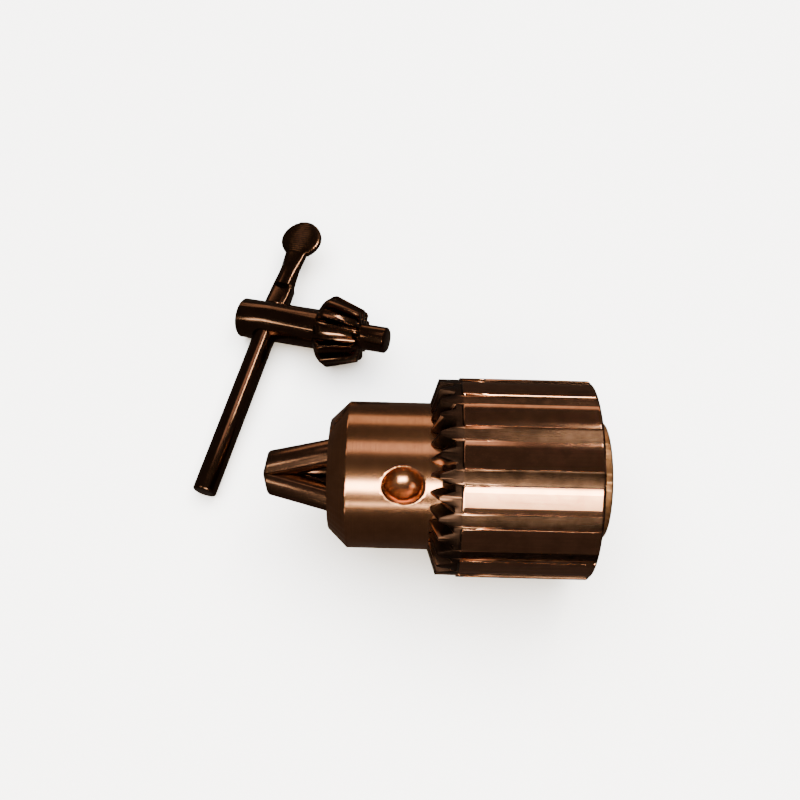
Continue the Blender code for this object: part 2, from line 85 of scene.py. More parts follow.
TOOTH_FLANK_STEPS = 4
TOOTH_FLANK_POWER = 1.25
STATION_GAP = 1e-3
SLEEVE_EDGE_WIDTH = 0.00016

# ---- Body
BODY_RADIUS = 0.0232
BODY_FACE_X = -0.0608
BODY_FACE_RADIUS = 0.01745
BODY_CHAMFER_X = -0.0549
NOSE_BORE = 0.0070
NOSE_BORE_END_X = -0.0302
DRILL_POINT = math.tan(math.radians(31))
NUT_GROOVE_X = (-0.0245, -0.0174)
NUT_GROOVE_RADIUS = 0.0198
FLANGE_RADIUS = 0.0289
FLANGE_X = (-0.0102, 0.0194)
RACE_SEAT_RADIUS = 0.0249
RACE_SEAT_X = -0.0122
BEARING_NECK_RADIUS = 0.0230
HUB_RADIUS = 0.0189
HUB_END_X = 0.0252
SOCKET_MOUTH_RADIUS = 0.0103
SOCKET_END_RADIUS = 0.00948
SOCKET_DEPTH = 0.0310
PILOT_X = -0.03757
PILOT_ANGLE = math.radians(32)
PILOT_RADIUS = 0.0052
PILOT_MOUTH_RADIUS = 0.0066
PILOT_FLOOR = 0.0122
BODY_EDGE_WIDTH = 0.00018

# ---- Jaws
JAW_COUNT = 3
JAW_SLANT = math.radians(15)
JAW_CROSSING_X = -0.09027
JAW_RADIUS = 0.00455
JAW_BORE = 0.00485
JAW_BORE_OVERRUN = 0.008
JAW_NOSE_X = -0.08235
JAW_END_BREAK = 0.0006
JAW_REAR_X = -0.0196
JAW_BORE_END_X = 0.0085
JAW_GROUND_GAP = 0.00015
JAW_CREST = 0.00335
JAW_THREAD_START_X = -0.0525
THREAD_PITCH = 0.0030
THREAD_FLANK = 0.00045
THREAD_START_X = -0.0241
JAW_FLOOR_HALF = 0.00065
JAW_THREAD_DEPTH = 0.00125
JAW_EDGE_WIDTH = 0.00014

# ---- Key
KEY_PLACE = Vector((-0.08929, 0.07157, 0.00903))
KEY_TURN = Euler((math.radians(4.05), math.radians(-9.32), math.radians(-14.96)))
KEY_BACK_X = -0.0113
SHANK_RADIUS = 0.0074
PINION_TEETH = 12
PINION_BACK_X = 0.0206
PINION_RIM_X = 0.0252
PINION_RIM_RADIUS = 0.0133
PINION_NOSE_X = 0.0364
PINION_NOSE_RADIUS = 0.00965
PINION_DEPTH = 0.0044
PINION_NOSE_DEPTH = 0.0034
PINION_DOME = ((0.0210, 0.0093), (0.0223, 0.0114), (0.0238, 0.0127))
PINION_TIP_SHARE = 0.44
PINION_ROOT_SHARE = 0.74
PINION_FLANK_SHARES = (0.25, 0.5, 0.75)
PINION_FLANK_POWER = 1.3
PINION_ROOT_DIP = 0.04
PIN_RADIUS = 0.00477
PIN_END_X = 0.04675
KEY_EDGE_WIDTH = 0.00022
BAR_RADIUS = 0.0042
BAR_HOLE_RADIUS = 0.0045
BAR_END_Y = -0.0703
BAR_END_BREAK = 0.0008
BAR_END_STEPS = 5
BAR_PLAIN_Y = (-0.040, -0.010, 0.0066)
# (y, half width, height above, depth below, roundness) of the bar's flat and of the neck
# that leads to the pad.  Roundness 1 is an ellipse, and a smaller value squares it off.
BAR_FLAT_AND_NECK = (
    (0.0072, BAR_RADIUS, 0.0032, BAR_RADIUS, 0.30),
    (0.0152, BAR_RADIUS, 0.0017, 0.0037, 0.25),
    (0.0158, BAR_RADIUS, 0.0033, 0.0036, 0.80),
    (0.0200, 0.00395, 0.0026, 0.0030, 0.90),
    (0.0240, 0.00380, 0.0021, 0.0024, 0.85),
    (0.0280, 0.00405, 0.0019, 0.0019, 0.60),
)
PAD_CENTRE_Y = 0.0380
PAD_RADIUS = 0.0079
PAD_HALF_WIDTH = 0.0080
PAD_START_HALF_WIDTH = 0.0043
PAD_END_SHARE = 0.985
PAD_HALF_THICKNESS = 0.0019
PAD_ROUNDNESS = 0.35
PAD_RIDGES = 15
PAD_RIDGE_HEIGHT = 0.00045

# ---- Facets of the fine meshes
TURNED_SEGMENTS = 192
HOLE_SEGMENTS = 96
BARREL_RINGS = 24
EDGE_RING = 0.0004
JAW_SEGMENTS = 72
BAR_SEGMENTS = 64
SHARP_ANGLE = math.radians(40)
BAR_SHARP_ANGLE = math.radians(26)

# ---- Finishes: how the tool marks are stretched, and the spans of noise that show
RING_MARKS = (1.0, 0.0, 0.0)
LENGTHWISE_MARKS = (0.03, 1.0, 1.0)
EVEN_MARKS = (1.0, 1.0, 1.0)
MOTTLE_SCALE = 220.0
MOTTLE_SPAN = (0.38, 0.66)
ZONE_MOTTLE_SPAN = (0.35, 0.65)
ZONE_STAIN_TONE = 0.5
ZONE_BLEND = 0.0003
STREAK_SPAN = (0.35, 0.70)
STREAK_SHARE = 0.35
STREAK_TONE = 0.6
ROUGH_SPAN = (0.3, 0.7)
ROUGH_SWING = 0.02
SPECK_SCALE = 1800.0
SPECK_SPAN = (0.60, 0.78)
SPECK_ROUGHNESS = 0.02
WEAR_SPAN = (0.54, 0.62)
WEAR_TONE = 2.0
# Radii over which the painted shade in the sleeve's grooves fades out towards the lands.
GROOVE_SHADE_RADII = (0.03105, 0.03125)

# ---- Camera, stage and lights
CAMERA_PLACE = (-0.03777, -0.11921, 0.30170)
CAMERA_TURN = (28.442, -0.421, 1.402)
CAMERA_LENS = 41.56
SENSOR_WIDTH = 36.0
CLIP_START = 0.01
FLOOR_HALF_SIZE = 3.0
PAPER = ((0.84, 0.84, 0.83), (0.88, 0.88, 0.87))
PAPER_GRAIN_SCALE = 900.0
PAPER_ROUGHNESS = 0.9
STUDIO_COLOUR = (0.60, 0.46, 0.37)
STUDIO_STRENGTH = 0.13
LIGHT_MIDDLE_X = 0.02
WARM = (1.0, 0.84, 0.64)
AMBER = (1.0, 0.68, 0.52)
DEEP_AMBER = (1.0, 0.66, 0.45)
DAYLIGHT = (0.97, 0.98, 1.0)


# ---- Mesh helpers


def about_x(x, radius, angle):
    """A point about the X axis; angle 0 is +Z, and it grows towards -Y."""
    return Vector((x, -radius * math.sin(angle), radius * math.cos(angle)))


def bridge(mesh_data, rings, closed_path=False):
    """Joins rings of points with quads, and caps both ends unless the path closes."""
    made = [[mesh_data.verts.new(point) for point in ring] for ring in rings]
    pairs = list(zip(made, made[1:]))
    if closed_path:
        pairs.append((made[-1], made[0]))
    count = len(made[0])
    for first, second in pairs:
        for i in range(count):
            j = (i + 1) % count
            mesh_data.faces.new((first[i], first[j], second[j], second[i]))
    if not closed_path:
        mesh_data.faces.new(made[0])
        mesh_data.faces.new(made[-1])
    return made


def turned(profile, segments=TURNED_SEGMENTS):
    """A solid turned about X from (x, radius) points, which may end on the axis."""
    mesh_data = bmesh.new()
    angles = [FULL_TURN * i / segments for i in range(segments)]
    inner = [point for point in profile if point[1] > 0]
    made = bridge(mesh_data, [[about_x(x, r, a) for a in angles] for x, r in inner])
    for end, ring in ((profile[0], made[0]), (profile[-1], made[-1])):
        if end[1] == 0:
            cap = next(f for f in ring[0].link_faces if len(f.verts) == segments)
            bmesh.ops.delete(mesh_data, geom=[cap], context="FACES_ONLY")
            apex = mesh_data.verts.new((end[0], 0.0, 0.0))
            for i in range(segments):
                mesh_data.faces.new((ring[i], ring[(i + 1) % segments], apex))
    return mesh_data


def make_piece(name, mesh_data, place=Matrix.Identity(4)):
    """Moves a bmesh to its place in the frame, and makes it a smooth object there."""
    bmesh.ops.remove_doubles(mesh_data, verts=mesh_data.verts, dist=SAME_POINT)
    bmesh.ops.recalc_face_normals(mesh_data, faces=mesh_data.faces)
    mesh_data.transform(place)
    mesh = bpy.data.meshes.new(name)
    mesh_data.to_mesh(mesh)
    mesh_data.free()
    mesh.shade_smooth()
    piece = bpy.data.objects.new(name, mesh)
    bpy.context.scene.collection.objects.link(piece)
    return piece


def cut(piece, cutters):
    """Cuts each bmesh in cutters out of the piece, and drops the cutters."""
    for index, (mesh_data, place) in enumerate(cutters):
        cutter = make_piece(f"{piece.name}_cutter_{index}", mesh_data, place)
        modifier = piece.modifiers.new("cut", "BOOLEAN")
        modifier.operation = "DIFFERENCE"
        modifier.solver = "EXACT"
        modifier.object = cutter
        apply_modifiers(piece)
        bpy.data.objects.remove(cutter)


def apply_modifiers(piece):
    """Turns the piece's modifiers into mesh."""
    depsgraph = bpy.context.evaluated_depsgraph_get()
    mesh = bpy.data.meshes.new_from_object(piece.evaluated_get(depsgraph))
    piece.modifiers.clear()
    piece.data = mesh


def soften(piece, width, limit, segments=2):
    """Rounds every edge sharper than limit degrees, as handling and tumbling do."""
    bevel = piece.modifiers.new("edge_break", "BEVEL")
    bevel.width = width
    bevel.segments = segments
    bevel.limit_method = "ANGLE"
    bevel.angle_limit = math.radians(limit)
    bevel.use_clamp_overlap = True
    bevel.harden_normals = True
    apply_modifiers(piece)
    piece.data.set_sharp_from_angle(angle=SHARP_ANGLE)


# ---- Sleeve


def axis_height():
    """The chuck lies on the flat of its lowest land, which sets its axis's height."""
    return LAND_RADIUS * math.cos(LAND_FLAT_HALF_ANGLE)


def land_radius(angle):
    """The land is flat in the middle and round towards its edges."""
    flat = LAND_RADIUS * math.cos(LAND_FLAT_HALF_ANGLE) / math.cos(angle)
    return min(LAND_RADIUS, flat)


def land_stations():
    """(angle from the land's middle, radius, how far its corner is rounded back)."""
    corner_start = LAND_HALF_ANGLE - LAND_CORNER_ANGLE
    flat_angles = [share * LAND_FLAT_HALF_ANGLE for share in LAND_FLAT_SHARES]
    right = [(angle, land_radius(angle), 0.0) for angle in flat_angles]
    right.append((LAND_FLAT_HALF_ANGLE, LAND_RADIUS, 0.0))
    for share in LAND_CORNER_SHARES:
        back = LAND_CORNER_RADIUS * (1 - math.sqrt(1 - share * share))
        right.append((corner_start + LAND_CORNER_ANGLE * share, LAND_RADIUS, back))
    right.append((LAND_HALF_ANGLE + LAND_FOOT_ANGLE, GROOVE_RADIUS, LAND_CORNER_RADIUS))
    left = [(-angle, radius, back) for angle, radius, back in reversed(right[1:])]
    return left + right


def tooth_share(angle):
    """1 on a tooth's tip and 0 at its root, with the flank bulging between them."""
    pitch = FULL_TURN / LAND_COUNT / 2
    away = abs((angle + pitch / 2) % pitch - pitch / 2)
    flank_angle = TOOTH_ROOT_HALF_ANGLE - TOOTH_TIP_HALF_ANGLE
    flank = min(max((away - TOOTH_TIP_HALF_ANGLE) / flank_angle, 0.0), 1.0)
    return 1 - flank**TOOTH_FLANK_POWER


def sleeve_stations():
    """(angle, radius on the lands' ring, corner setback) round the whole sleeve.

    One pitch holds a land, a groove and two bevel teeth, so it has the points of each.
    """
    pitch = FULL_TURN / LAND_COUNT
    lands = land_stations()
    edge = lands[-1][0]
    between = []
    for i in range(1, GROOVE_STEPS):
        angle = edge + (pitch - 2 * edge) * i / GROOVE_STEPS
        between.append((angle, GROOVE_RADIUS, 0.0))
    flanks = []
    for centre in (0.0, pitch / 2, pitch):
        for side in (-1, 1):
            for i in range(TOOTH_FLANK_STEPS + 1):
                away = TOOTH_TIP_HALF_ANGLE
                away += (TOOTH_ROOT_HALF_ANGLE - away) * i / TOOTH_FLANK_STEPS
                flanks.append(centre + side * away)
    one = lands + between
    taken = [angle for angle, _, _ in one]
    for angle in flanks:
        is_free = min(abs(angle - other) for other in taken) > STATION_GAP
        if is_free and -edge <= angle < pitch - edge:
            on_land = abs(angle) < LAND_HALF_ANGLE - LAND_CORNER_ANGLE
            if on_land or angle > edge:
                radius = land_radius(angle) if on_land else GROOVE_RADIUS
                one.append((angle, radius, 0.0))
                taken.append(angle)
    one.sort()
    return [
        (pitch / 2 + k * pitch + angle, radius, back)
        for k in range(LAND_COUNT)
        for angle, radius, back in one
    ]


def make_sleeve(place):
    """The shell: bevel teeth in front, lands outside, and the nut's seat inside."""
    stations = sleeve_stations()
    pitch = FULL_TURN / LAND_COUNT
    rear = LAND_HALF_LENGTH

    def tooth_ring(radius):
        ring = []
        for angle, _, _ in stations:
            share = tooth_share(angle - pitch / 2)
            slope = TOOTH_TIP_SLOPE * share + TOOTH_ROOT_SLOPE * (1 - share)
            ring.append(about_x(PILOT_X + slope * radius, radius, angle))
        return ring

    def round_ring(x, radius):
        return [about_x(x, radius, angle) for angle, _, _ in stations]

    def land_ring(x, setback=0.0):
        return [about_x(x + setback * back, r, a) for a, r, back in stations]

    def foot_ring(x):
        return [about_x(x + back, GROOVE_RADIUS, a) for a, _, back in stations]

    rings = [
        tooth_ring(SLEEVE_NECK_BORE),
        tooth_ring((SLEEVE_NECK_BORE + GROOVE_RADIUS) / 2),
        tooth_ring(GROOVE_RADIUS),
        foot_ring(-rear - LAND_END_SLOPE),
        land_ring(-rear, 1.0),
        land_ring(-rear + EDGE_RING),
        *(land_ring(rear * share) for share in LAND_RING_SHARES),
        land_ring(rear - SLEEVE_CHAMFER - EDGE_RING),
        land_ring(rear - SLEEVE_CHAMFER),
        round_ring(rear, LAND_RADIUS - SLEEVE_CHAMFER),
        round_ring(rear, SLEEVE_BORE + EDGE_BREAK),
        round_ring(rear - EDGE_BREAK, SLEEVE_BORE),
        round_ring(SLEEVE_SHOULDER_X, SLEEVE_BORE),
        round_ring(SLEEVE_SHOULDER_FOOT_X, SLEEVE_NECK_BORE + EDGE_BREAK),
        round_ring(SLEEVE_SHOULDER_FOOT_X - EDGE_BREAK, SLEEVE_NECK_BORE),
    ]
    mesh_data = bmesh.new()
    bridge(mesh_data, rings, closed_path=True)
    sleeve = make_piece("sleeve_shell", mesh_data, place)
    soften(sleeve, SLEEVE_EDGE_WIDTH, limit=32)
    return sleeve


# ---- Body


def body_profile():
    """(x, radius) of the turned body, from the nose bore round to the taper socket."""
    nose_end = NOSE_BORE_END_X + NOSE_BORE * DRILL_POINT
    socket_end = HUB_END_X - SOCKET_DEPTH
    length = NUT_GROOVE_X[0] - BODY_CHAMFER_X
    barrel = [BODY_CHAMFER_X + length * i / BARREL_RINGS for i in range(BARREL_RINGS + 1)]
    barrel.insert(1, BODY_CHAMFER_X + EDGE_RING)
    return (
        (nose_end, 0.0),
        (NOSE_BORE_END_X, NOSE_BORE),
        (BODY_FACE_X + EDGE_BREAK, NOSE_BORE),
        (BODY_FACE_X, NOSE_BORE + EDGE_BREAK),
        (BODY_FACE_X, BODY_FACE_RADIUS),
        *((x, BODY_RADIUS) for x in barrel),
        (NUT_GROOVE_X[0], NUT_GROOVE_RADIUS),
        (NUT_GROOVE_X[1], NUT_GROOVE_RADIUS),
        (NUT_GROOVE_X[1], BEARING_NECK_RADIUS),
        (RACE_SEAT_X, BEARING_NECK_RADIUS),
        (RACE_SEAT_X, RACE_SEAT_RADIUS),
        (FLANGE_X[0], RACE_SEAT_RADIUS),
        (FLANGE_X[0], FLANGE_RADIUS),
        (FLANGE_X[1] - EDGE_BREAK, FLANGE_RADIUS),
        (FLANGE_X[1], FLANGE_RADIUS - EDGE_BREAK),
        (FLANGE_X[1], HUB_RADIUS),
        (HUB_END_X - EDGE_BREAK, HUB_RADIUS),
        (HUB_END_X, HUB_RADIUS - EDGE_BREAK),
        (HUB_END_X, SOCKET_MOUTH_RADIUS + EDGE_BREAK),
        (HUB_END_X - EDGE_BREAK, SOCKET_MOUTH_RADIUS),
        (socket_end, SOCKET_END_RADIUS),
        (socket_end - SOCKET_END_RADIUS * DRILL_POINT, 0.0),
    )


def jaw_angle(number):
    """The jaws stand midway between the pilot holes."""
    return PILOT_ANGLE + FULL_TURN * (number + 0.5) / JAW_COUNT


def jaw_matrix(number):
    """Takes a rod along X, back upwards, to its slanted place round the chuck's axis."""
    turn = Matrix.Rotation(jaw_angle(number), 4, "X")
    slant = Matrix.Rotation(-JAW_SLANT, 4, "Y")
    return turn @ Matrix.Translation((JAW_CROSSING_X, 0, 0)) @ slant


def along_jaw(x, height):
    """Distance along a rod's axis of a point at x that is height above that axis."""
    return (x - JAW_CROSSING_X + height * math.sin(JAW_SLANT)) / math.cos(JAW_SLANT)


def jaw_bore():
    """The slanted hole that a jaw slides in, from the face back into the flange."""
    start = along_jaw(BODY_FACE_X, 0.0) - JAW_BORE_OVERRUN
    end = along_jaw(JAW_BORE_END_X, 0.0)
    return turned(((start, JAW_BORE), (end, JAW_BORE)), HOLE_SEGMENTS)


def pilot_hole():
    """The drilled hole with its conical bottom and countersunk mouth."""
    neck = BODY_RADIUS - (PILOT_MOUTH_RADIUS - PILOT_RADIUS)
    profile = (
        (PILOT_FLOOR - PILOT_RADIUS * DRILL_POINT, 0.0),
        (PILOT_FLOOR, PILOT_RADIUS),
        (neck, PILOT_RADIUS),
        (BODY_RADIUS + CUTTER_OVERRUN, PILOT_MOUTH_RADIUS + CUTTER_OVERRUN),
    )
    return turned(profile, HOLE_SEGMENTS)


def make_body(place):
    """The turned body with its three jaw bores and three pilot holes."""
    body = make_piece("chuck_body_turned", turned(body_profile()), place)
    cutters = []
    for number in range(JAW_COUNT):
        cutters.append((jaw_bore(), place @ jaw_matrix(number)))
        turn = Matrix.Rotation(PILOT_ANGLE + FULL_TURN * number / JAW_COUNT, 4, "X")
        point_up = Matrix.Rotation(-math.pi / 2, 4, "Y")
        point_up = Matrix.Translation((PILOT_X, 0, 0)) @ point_up
        cutters.append((pilot_hole(), place @ turn @ point_up))
    cut(body, cutters)
    soften(body, BODY_EDGE_WIDTH, limit=35)
    return body


# ---- Jaws


def jaw_stations(number):
    """(distance along the rod, height that its back is cut to), front to rear."""
    wide = JAW_FLOOR_HALF + THREAD_FLANK
    start = THREAD_START_X - THREAD_PITCH * jaw_angle(number) / FULL_TURN
    first = math.ceil((JAW_THREAD_START_X + 2 * wide - start) / THREAD_PITCH)
    last = math.floor((JAW_REAR_X + wide - start) / THREAD_PITCH)
    centres = [start + THREAD_PITCH * k for k in range(first, last + 1)]

    def cut_at(x):
        away = min(abs(x - centre) for centre in centres)
        share = min(max((wide - away) / THREAD_FLANK, 0.0), 1.0)
        return JAW_CREST - JAW_THREAD_DEPTH * share

    corners = [
        centre + shift
        for centre in centres
        for shift in (-wide, -JAW_FLOOR_HALF, JAW_FLOOR_HALF, wide)
        if centre + shift < JAW_REAR_X
    ]
    stations = [
        (along_jaw(JAW_THREAD_START_X, JAW_RADIUS), JAW_RADIUS),
        (along_jaw(JAW_THREAD_START_X + EDGE_BREAK, JAW_CREST), JAW_CREST),
    ]
    for x in corners + [JAW_REAR_X]:
        stations.append((along_jaw(x, cut_at(x)), cut_at(x)))
    return stations


def jaw_nose_ring(setback):
    """The rod's end, ground so that the three closed jaws make a blunt point."""
    ring = []
    squeeze = math.cos(JAW_SLANT) - math.sin(JAW_SLANT) * math.tan(JAW_SLANT)
    radius = JAW_RADIUS - JAW_END_BREAK + setback
    for i in range(JAW_SEGMENTS):
        angle = FULL_TURN * i / JAW_SEGMENTS
        height = radius * math.cos(angle)
        along = JAW_NOSE_X - JAW_CROSSING_X + 2 * height * math.sin(JAW_SLANT)
        side = radius * math.sin(angle)
        ring.append(Vector((along / squeeze + setback, -side, height)))
    return ring


def jaw_ring(distance, limit):
    """The rod's outline there, its back cut to a surface that curves as the nut does."""
    ring = []
    for i in range(JAW_SEGMENTS):
        angle = FULL_TURN * i / JAW_SEGMENTS
        side = JAW_RADIUS * math.sin(angle)
        height = JAW_RADIUS * math.cos(angle)
        if limit < JAW_RADIUS:
            height = min(height, limit - side * side / (2 * NUT_GROOVE_RADIUS))
        ring.append(Vector((distance, -side, height)))
    return ring


def grind_flank(mesh_data, side, number):
    """Cuts the jaw flat along the plane that it shares with its neighbour."""
    angle = jaw_angle(number) + side * math.pi / JAW_COUNT
    normal = about_x(0.0, 1.0, angle + side * math.pi / 2)
    result = bmesh.ops.bisect_plane(
        mesh_data,
        geom=mesh_data.verts[:] + mesh_data.edges[:] + mesh_data.faces[:],
        dist=ON_PLANE,
        plane_co=normal * -JAW_GROUND_GAP,
        plane_no=normal,
        clear_outer=True,
    )
    edges = [item for item in result["geom_cut"] if isinstance(item, bmesh.types.BMEdge)]
    bmesh.ops.contextual_create(mesh_data, geom=edges)


def make_jaw(number, place):
    """A threaded rod whose nose is ground to a wedge of 120 degrees."""
    mesh_data = bmesh.new()
    rings = [jaw_nose_ring(0.0), jaw_nose_ring(JAW_END_BREAK)]
    rings += [jaw_ring(*station) for station in jaw_stations(number)]
    bridge(mesh_data, rings)
    mesh_data.transform(jaw_matrix(number))
    for side in (-1, 1):
        grind_flank(mesh_data, side, number)
    jaw = make_piece(f"jaw_{number + 1}_ground", mesh_data, place)
    soften(jaw, JAW_EDGE_WIDTH, limit=28)
    return jaw


# ---- Key


def pinion_stations():
    """(angle, share of a tooth's height) round the pinion, with rounded roots."""
    pitch = FULL_TURN / PINION_TEETH
    tip = pitch * PINION_TIP_SHARE / 2
    root = pitch * PINION_ROOT_SHARE / 2
    one = [(-root, 0.0), (-tip, 1.0), (0.0, 1.0), (tip, 1.0), (root, 0.0)]
    for share in PINION_FLANK_SHARES:
        away = tip + (root - tip) * share
        height = 1 - share**PINION_FLANK_POWER
        one.extend(((-away, height), (away, height)))
    one.append((pitch / 2, -PINION_ROOT_DIP))
    one.sort()
    starts = [k * pitch for k in range(PINION_TEETH)]
    return [(start + angle, share) for start in starts for angle, share in one]


def make_key_body(place):
    """The shank, bevel pinion and pilot pin, with the bar's cross hole."""
    stations = pinion_stations()
    root_radius = PINION_RIM_RADIUS - PINION_DEPTH

    def round_ring(x, radius):
        return [about_x(x, radius, angle) for angle, _ in stations]

    def tooth_ring(x, tip_radius, depth):
        return [about_x(x, tip_radius - depth * (1 - share), a) for a, share in stations]

    rings = [
        round_ring(KEY_BACK_X, SHANK_RADIUS - EDGE_BREAK),
        round_ring(KEY_BACK_X + EDGE_BREAK, SHANK_RADIUS),
        round_ring(0.0, SHANK_RADIUS),
        round_ring(PINION_BACK_X, SHANK_RADIUS),
    ]
    rings += [tooth_ring(x, radius, radius - root_radius) for x, radius in PINION_DOME]
    rings += [
        tooth_ring(PINION_RIM_X, PINION_RIM_RADIUS, PINION_DEPTH),
        tooth_ring(PINION_NOSE_X, PINION_NOSE_RADIUS, PINION_NOSE_DEPTH),
        round_ring(PINION_NOSE_X + EDGE_BREAK, PIN_RADIUS),
        round_ring(PIN_END_X - EDGE_BREAK, PIN_RADIUS),
        round_ring(PIN_END_X, PIN_RADIUS - EDGE_BREAK),
    ]
    mesh_data = bmesh.new()
    bridge(mesh_data, rings)
    key = make_piece("key_shank_and_pinion", mesh_data, place)
    reach = SHANK_RADIUS + CUTTER_OVERRUN
    hole = turned(((-reach, BAR_HOLE_RADIUS), (reach, BAR_HOLE_RADIUS)), HOLE_SEGMENTS)
    cut(key, [(hole, place @ Matrix.Rotation(math.pi / 2, 4, "Z"))])
    soften(key, KEY_EDGE_WIDTH, limit=30, segments=3)
    return key


def bar_sections():
    """(y, half width, height above, depth below, roundness) from plain end to pad."""
    for i in range(BAR_END_STEPS + 1):
        angle = math.pi / 2 * i / BAR_END_STEPS
        radius = BAR_RADIUS - BAR_END_BREAK * (1 - math.sin(angle))
        y = BAR_END_Y + BAR_END_BREAK * (1 - math.cos(angle))
        yield y, radius, radius, radius, 1.0
    for y in BAR_PLAIN_Y:
        yield y, BAR_RADIUS, BAR_RADIUS, BAR_RADIUS, 1.0
    yield from BAR_FLAT_AND_NECK
    start = math.asin(PAD_START_HALF_WIDTH / PAD_HALF_WIDTH)
    half_ridges = 2 * PAD_RIDGES
    top = PAD_CENTRE_Y - PAD_RADIUS * math.cos(start)
    length = PAD_CENTRE_Y + PAD_RADIUS * PAD_END_SHARE - top
    for i in range(half_ridges + 1):
        y = top + length * i / half_ridges
        across = (y - PAD_CENTRE_Y) / PAD_RADIUS
        half_width = PAD_HALF_WIDTH * math.sqrt(1 - across * across)
        ridge = PAD_RIDGE_HEIGHT * (i % 2)
        thickness = PAD_HALF_THICKNESS - PAD_RIDGE_HEIGHT + ridge
        yield y, half_width, thickness, thickness, PAD_ROUNDNESS


def make_key_bar(place):
    """The bar, with its flat, its neck and the ridged thumb pad."""
    rings = []
    for y, half_width, above, below, roundness in bar_sections():
        ring = []
        for i in range(BAR_SEGMENTS):
            angle = FULL_TURN * (i + 0.5) / BAR_SEGMENTS
            rise = abs(math.sin(angle)) ** roundness
            height = above * rise if math.sin(angle) > 0 else -below * rise
            ring.append(Vector((half_width * math.cos(angle), y, height)))
        rings.append(ring)
    mesh_data = bmesh.new()
    bridge(mesh_data, rings)
    bar = make_piece("key_handle", mesh_data, place)
    bar.data.set_sharp_from_angle(angle=BAR_SHARP_ANGLE)
    return bar


# ---- Materials


class Nodes:
    """A material's node tree, with short ways to add and join nodes."""

    def __init__(self, name):
        self.material = bpy.data.materials.new(name)
        self.material.use_nodes = True
        self.tree = self.material.node_tree
        self.shader = self.tree.nodes["Principled BSDF"]

    def add(self, kind, **settings):
        node = self.tree.nodes.new(kind)
        for key, value in settings.items():
            setattr(node, key, value)
        return node

    def join(self, source, target):
        self.tree.links.new(source, target)

    def place(self, scale=(1.0, 1.0, 1.0), shift=(0.0, 0.0, 0.0)):
        """The object's own coordinates, stretched by scale and then shifted."""
        coordinates = self.add("ShaderNodeTexCoord")
        mapping = self.add("ShaderNodeMapping")
        mapping.inputs["Scale"].default_value = scale
        mapping.inputs["Location"].default_value = shift
        self.join(coordinates.outputs["Object"], mapping.inputs["Vector"])
        return mapping.outputs["Vector"]

    def noise(self, where, scale, detail=4.0, roughness=0.5):
        node = self.add("ShaderNodeTexNoise")
        node.inputs["Scale"].default_value = scale
        node.inputs["Detail"].default_value = detail
        node.inputs["Roughness"].default_value = roughness
        self.join(where, node.inputs["Vector"])
        return node.outputs["Fac"]

    def ramp(self, value, span, first=0.0, last=1.0):
        """Goes from first to last as the value crosses the span."""
        node = self.add("ShaderNodeMapRange")
        node.inputs["From Min"].default_value = span[0]
        node.inputs["From Max"].default_value = span[1]
        node.inputs["To Min"].default_value = first
        node.inputs["To Max"].default_value = last
        self.join(value, node.inputs["Value"])
        return node.outputs["Result"]

    def plus(self, first, second):
        node = self.add("ShaderNodeMath", operation="ADD")
        self.join(first, node.inputs[0])
        self.join(second, node.inputs[1])
        return node.outputs["Value"]

    def mix(self, factor, first, second):
        node = self.add("ShaderNodeMix", data_type="RGBA")
        self.join(factor, node.inputs["Factor"])
        for socket, colour in ((node.inputs["A"], first), (node.inputs["B"], second)):
            if isinstance(colour, tuple):
                socket.default_value = (*colour, 1.0)
            else:
                self.join(colour, socket)
        return node.outputs["Result"]

    def bump(self, height, distance):
        node = self.add("ShaderNodeBump")
        node.inputs["Distance"].default_value = distance
        node.inputs["Strength"].default_value = 1.0
        self.join(height, node.inputs["Height"])
        return node.outputs["Normal"]


def toned(colour, factor):
    """The colour, darker or lighter by the factor."""
    return tuple(min(1.0, factor * channel) for channel in colour)


def steel(
    name, colour, stain, roughness, marks, mark_scale, mark_depth, painted_light_zones=(), wear=0.0
):
    """Metal with tool marks stretched by marks, and a mottled stain.

    Each painted-light zone is (mask maker, colour, extra roughness): a part of the surface
    whose colour paints shade or a reflection on it, with extra roughness.  Wear is how far
    the edges are rubbed bright.
    """
    nodes = Nodes(name)
    shader = nodes.shader
    shader.inputs["Metallic"].default_value = 1.0
    tool_marks = nodes.noise(nodes.place(marks), mark_scale, 2.0, 0.6)
    mottle = nodes.noise(nodes.place(), MOTTLE_SCALE, 5.0, 0.6)
    speck = nodes.noise(nodes.place(), SPECK_SCALE, 2.0, 0.5)
    base = nodes.mix(nodes.ramp(mottle, MOTTLE_SPAN), colour, stain)
    streak = nodes.ramp(tool_marks, STREAK_SPAN, last=STREAK_SHARE)
    base = nodes.mix(streak, base, toned(colour, STREAK_TONE))
    rough = nodes.ramp(
        tool_marks, ROUGH_SPAN, roughness - ROUGH_SWING, roughness + ROUGH_SWING
    )
    # Painted light: each zone's colour stands in for shade or a reflection there, mixed
    # over the base colour.
    for mask_maker, painted_light_colour, extra in painted_light_zones:
        mask = mask_maker(nodes)
        zone_mottle = nodes.ramp(mottle, ZONE_MOTTLE_SPAN)
        zone = nodes.mix(zone_mottle, painted_light_colour, toned(painted_light_colour, ZONE_STAIN_TONE))
        base = nodes.mix(mask, base, zone)
        rough = nodes.plus(rough, nodes.ramp(mask, (0.0, 1.0), last=extra))
    if wear:
        worn = nodes.add("ShaderNodeNewGeometry").outputs["Pointiness"]
        edge = nodes.ramp(worn, WEAR_SPAN, last=wear)
        base = nodes.mix(edge, base, toned(colour, WEAR_TONE))
    nodes.join(base, shader.inputs["Base Color"])
    rough = nodes.plus(rough, nodes.ramp(speck, SPECK_SPAN, last=SPECK_ROUGHNESS))
    nodes.join(rough, shader.inputs["Roughness"])
    nodes.join(nodes.bump(tool_marks, mark_depth), shader.inputs["Normal"])
    return nodes.material


